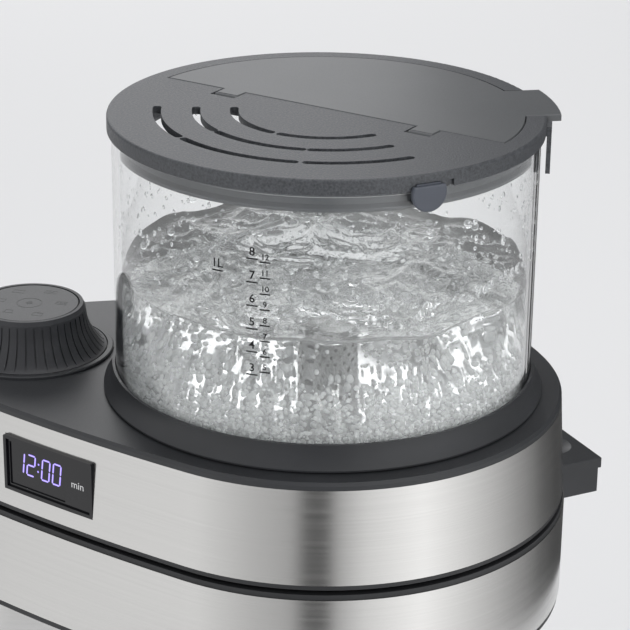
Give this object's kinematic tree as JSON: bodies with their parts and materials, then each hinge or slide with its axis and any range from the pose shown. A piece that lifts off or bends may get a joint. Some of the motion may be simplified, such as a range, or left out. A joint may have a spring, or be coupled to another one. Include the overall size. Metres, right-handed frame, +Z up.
{
  "type": "filter coffee maker",
  "caption": "Electric filter coffee maker with a glass boiling tank on top, a swing-out filter arm in a brushed steel housing, a dial knob, a timer display and a glass jug.",
  "frame": {"origin": "where the common axis of the tank and the jug meets the surface that the machine stands on, under the base's middle foot", "axes": "+Z up, +X from the column's axis towards the tank's axis, -Y the front side that carries the display"},
  "size_m": [0.2572, 0.18, 0.3901],
  "materials": {
    "steel_band": "fine horizontal brushing",
    "polished_steel": "smooth stainless",
    "spring_steel": "bright drawn wire",
    "zinc_fastener": "zinc plated",
    "black_plastic": "fine matt grain",
    "satin_black": "satin",
    "grained_black": "spark-eroded grain",
    "flap_grey": "smooth satin",
    "knob_black": "satin with fine ribs",
    "gloss_black": "gloss",
    "lamp_module": "moulded white reflector",
    "basket_plastic": "satin",
    "bearing_plastic": "self-lubricating plastic",
    "circuit_board": "solder mask",
    "coil_winding": "lacquered winding",
    "thermostat_cap": "ceramic and tin",
    "cast_heater": "as cast",
    "coated_plate": "non-stick coating",
    "seal_rubber": "silicone",
    "rubber_feet": "matt",
    "translucent_seal": "translucent silicone",
    "translucent_tongue": "translucent",
    "clear_glass": "clear borosilicate"
  },
  "bodies": {
    "machine": {"base_shell": "black_plastic", "base_band": "steel_band", "base_cover": "black_plastic", "base_feet": "rubber_feet", "base_screws": "zinc_fastener", "warming_plate": "coated_plate", "plate_heater": "cast_heater", "plate_thermostat": "thermostat_cap", "cord_gland": "rubber_feet", "column_skin": "steel_band", "column_core": "black_plastic", "pivot_post": "polished_steel", "thrust_washer": "bearing_plastic", "power_board": "circuit_board", "head_shell": "black_plastic", "head_band": "steel_band", "display_bezel": "gloss_black", "display_window": "gloss_black", "display_module": "lamp_module", "control_board": "circuit_board", "top_plate": "satin_black", "tank_collar": "satin_black", "tank_gasket": "seal_rubber", "tank_glass": "clear_glass", "tank_floor": "polished_steel", "tank_heater": "cast_heater", "tank_thermostat": "thermostat_cap", "strainer": "polished_steel", "valve_tube": "polished_steel", "solenoid_coil": "coil_winding", "shower_head": "basket_plastic", "knob_bezel": "satin_black", "knob_sleeve": "bearing_plastic", "encoder_board": "circuit_board"},
    "swing_arm": {"arm_shell": "black_plastic", "arm_band": "steel_band", "arm_deck": "black_plastic", "arm_bush": "bearing_plastic", "arm_handle_cap": "satin_black", "arm_handle_body": "satin_black", "filter_basket": "basket_plastic"},
    "drip_stop": {"drip_valve": "seal_rubber", "drip_spring": "spring_steel"},
    "knob": {"knob": "knob_black"},
    "start_button": {"start_button": "satin_black", "button_spring": "spring_steel"},
    "lid": {"lid_disc": "grained_black", "lid_seal": "translucent_seal", "lid_tongue": "translucent_tongue"},
    "flap": {"lid_flap": "flap_grey", "flap_pins": "polished_steel"},
    "outlet": {"outlet_plunger": "polished_steel", "outlet_spring": "spring_steel"},
    "jug": {"jug_glass": "clear_glass", "jug_collar": "satin_black", "jug_handle": "satin_black"},
    "jug_lid": {"jug_lid": "satin_black"}
  },
  "joints": [
    {"name": "arm_swing", "type": "hinge", "parent": "machine", "child": "swing_arm", "pos_m": [-0.113, 0, 0.227], "axis": [0, 0, -1], "range_deg": [0, 90]},
    {"name": "drip_lift", "type": "slide", "parent": "swing_arm", "child": "drip_stop", "axis": [0, 0, 1], "range_m": [0, 0.0035], "stiffness_N_per_m": 150, "springref_m": -0.004, "deforming": ["drip_spring"]},
    {"name": "knob_turn", "type": "hinge", "parent": "machine", "child": "knob", "pos_m": [-0.113, 0, 0.295], "axis": [0, 0, 1], "continuous": true},
    {"name": "button_press", "type": "slide", "parent": "machine", "child": "start_button", "axis": [0, 0, -1], "range_m": [0, 0.0012], "stiffness_N_per_m": 600, "springref_m": -0.002, "deforming": ["button_spring"]},
    {"name": "lid_lift", "type": "slide", "parent": "machine", "child": "lid", "axis": [0, 0, 1], "range_m": [0, 0.06]},
    {"name": "flap_open", "type": "hinge", "parent": "lid", "child": "flap", "pos_m": [-0.00102, -0.00303, 0.3887], "axis": [0.9478, -0.319, 0], "range_deg": [0, 105]},
    {"name": "outlet_open", "type": "slide", "parent": "machine", "child": "outlet", "axis": [0, 0, 1], "range_m": [0, 0.004], "stiffness_N_per_m": 200, "springref_m": -0.003, "deforming": ["outlet_spring"]},
    {"name": "jug_slide", "type": "slide", "parent": "machine", "child": "jug", "axis": [0.766, -0.6428, 0], "range_m": [0, 0.2]},
    {"name": "jug_lid_twist", "type": "hinge", "parent": "jug", "child": "jug_lid", "pos_m": [0, 0, 0.15], "axis": [0, 0, 1], "range_deg": [0, 30]}
  ]
}
